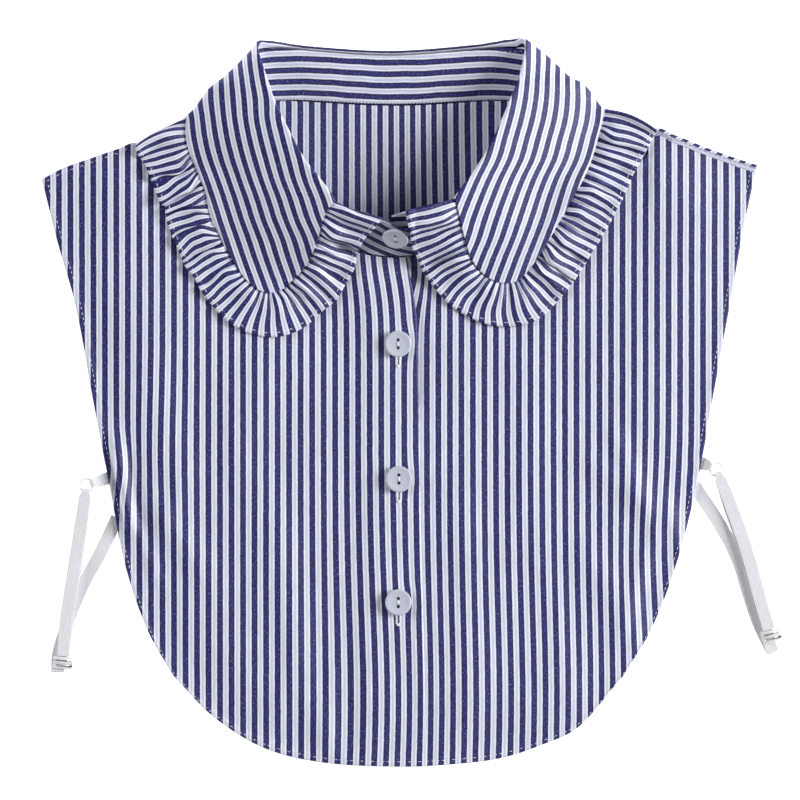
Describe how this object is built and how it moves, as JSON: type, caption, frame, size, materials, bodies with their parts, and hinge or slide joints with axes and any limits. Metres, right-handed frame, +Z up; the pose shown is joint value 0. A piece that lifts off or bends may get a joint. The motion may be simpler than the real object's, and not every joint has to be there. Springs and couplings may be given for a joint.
{
  "type": "detachable shirt collar",
  "caption": "Striped cotton detachable collar: a short buttoned bib with a rounded turn-down collar, gathered frill edge and elastic side straps, lying flat.",
  "frame": {"origin": "on the floor under the flat middle of the back panel", "axes": "+Z up out of the front of the bib, +Y to the head, +X to the wearer's left"},
  "size_m": [0.3511, 0.3451, 0.0316],
  "materials": {
    "cotton": "woven cotton with blue and white stripes",
    "button": "polished",
    "elastic": "white woven elastic",
    "hardware": "smooth"
  },
  "bodies": {
    "root": {"back_panel": "cotton", "front_left": "cotton", "front_right": "cotton", "collar_stand": "cotton", "collar_leaf": "cotton", "frill": "cotton", "button_1": "button", "button_2": "button", "button_3": "button", "button_4": "button", "tab_right": "elastic", "tab_left": "elastic", "strap_right": "elastic", "strap_left": "elastic", "ring_right": "hardware", "ring_left": "hardware", "slider_right": "hardware", "slider_left": "hardware"}
  },
  "joints": []
}
